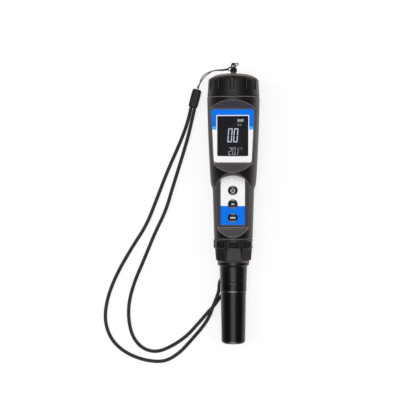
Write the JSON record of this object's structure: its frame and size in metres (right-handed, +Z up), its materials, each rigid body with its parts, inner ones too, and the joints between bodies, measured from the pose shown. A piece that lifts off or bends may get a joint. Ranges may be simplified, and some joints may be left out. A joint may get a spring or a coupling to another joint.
{
  "type": "pen conductivity meter",
  "caption": "Pen-type conductivity meter lying on its back, with a tilted-up display head, three buttons, screw battery cap, capped replaceable probe and wrist lanyard.",
  "frame": {"origin": "centre of the meter's box without its lanyard, on the ground that it lies on", "axes": "+Y along the meter towards the battery cap and lanyard eye, +Z up, out of the display"},
  "size_m": [0.1156, 0.22, 0.0377],
  "materials": {
    "housing_black": "fine satin moulded plastic",
    "cap_black": "fine satin moulded plastic",
    "collar_black": "satin moulded plastic",
    "probe_black": "satin moulded plastic",
    "storage_black": "semi-gloss moulded plastic",
    "washer_grey": "matt rubber",
    "seal_rubber": "greased rubber",
    "label_print": "printed film, blue and white",
    "window_clear": "clear acrylic",
    "button_gloss": "gloss",
    "silicone_grey": "matt silicone",
    "board_green": "solder mask",
    "chip_black": "matt",
    "steel": "bright",
    "lcd_black": "negative display glass",
    "backlight_white": "diffusing plastic",
    "strip_grey": "striped rubber",
    "frame_grey": "moulded plastic",
    "cell_steel": "plated",
    "contact_brass": "gold plated",
    "graphite": "polished graphite",
    "ceramic_white": "matt ceramic",
    "string_grey": "twisted string",
    "cord_black": "woven cord",
    "sleeve_black": "satin rubber"
  },
  "bodies": {
    "meter": {"housing": "housing_black", "probe_socket": "frame_grey", "display_label": "label_print", "display_window": "window_clear", "button_label": "label_print", "keypad_mat": "silicone_grey", "circuit_board": "board_green", "board_screws": "steel", "board_chips": "chip_black", "lcd_panel": "lcd_black", "lcd_backlight": "backlight_white", "lcd_strip": "strip_grey", "inner_frame": "frame_grey", "battery_carrier": "frame_grey", "cell_spring": "steel", "neck_seal": "seal_rubber", "switch_power": "chip_black", "switch_hold": "chip_black", "switch_mode": "chip_black", "button_cell_1": "cell_steel", "button_cell_2": "cell_steel", "button_cell_3": "cell_steel", "button_cell_4": "cell_steel", "lanyard_sleeve": "sleeve_black", "lanyard_cord": "cord_black"},
    "cap_carrier": {"contact_plate": "steel", "string_a": "string_grey", "string_b": "string_grey"},
    "battery_cap": {"battery_cap": "cap_black", "string_hitch": "string_grey"},
    "electrode": {"probe_stem": "probe_black", "probe_pins": "contact_brass", "probe_guard": "probe_black", "sensor_core": "ceramic_white", "sensing_rings": "graphite", "temperature_sensor": "steel", "plug_seals": "seal_rubber", "collar_washer": "washer_grey", "cap_seal": "seal_rubber"},
    "lock_collar": {"lock_collar": "collar_black"},
    "storage_cap": {"storage_cap": "storage_black"},
    "button_power": {"button_power": "button_gloss"},
    "button_hold": {"button_hold": "button_gloss"},
    "button_mode": {"button_mode": "button_gloss"}
  },
  "joints": [
    {"name": "cap_rise", "type": "slide", "parent": "meter", "child": "cap_carrier", "axis": [0, 0.9992, 0.0408], "range_m": [0, 0.009]},
    {"name": "cap_turn", "type": "hinge", "parent": "cap_carrier", "child": "battery_cap", "pos_m": [0, 0.08614, 0.01909], "axis": [0, 0.9992, 0.0408], "range_deg": [0, 1080]},
    {"name": "electrode_pull", "type": "slide", "parent": "meter", "child": "electrode", "axis": [0, -0.9992, -0.0408], "range_m": [0, 0.006]},
    {"name": "collar_turn", "type": "hinge", "parent": "electrode", "child": "lock_collar", "pos_m": [0, -0.03376, 0.0142], "axis": [0, -0.9992, -0.0408], "range_deg": [0, 720]},
    {"name": "storage_cap_pull", "type": "slide", "parent": "electrode", "child": "storage_cap", "axis": [0, -0.9992, -0.0408], "range_m": [0, 0.04]},
    {"name": "power_press", "type": "slide", "parent": "meter", "child": "button_power", "axis": [0, 0.0408, -0.9992], "range_m": [0, 0.0006], "stiffness_N_per_m": 1500},
    {"name": "hold_press", "type": "slide", "parent": "meter", "child": "button_hold", "axis": [0, 0.0408, -0.9992], "range_m": [0, 0.0006], "stiffness_N_per_m": 1500},
    {"name": "mode_press", "type": "slide", "parent": "meter", "child": "button_mode", "axis": [0, 0.0408, -0.9992], "range_m": [0, 0.0006], "stiffness_N_per_m": 1500}
  ],
  "couplings": [
    {"joint": "cap_rise", "follows": "cap_turn", "m_per_rad": 0.000477},
    {"joint": "electrode_pull", "follows": "collar_turn", "m_per_rad": 0.000477}
  ]
}
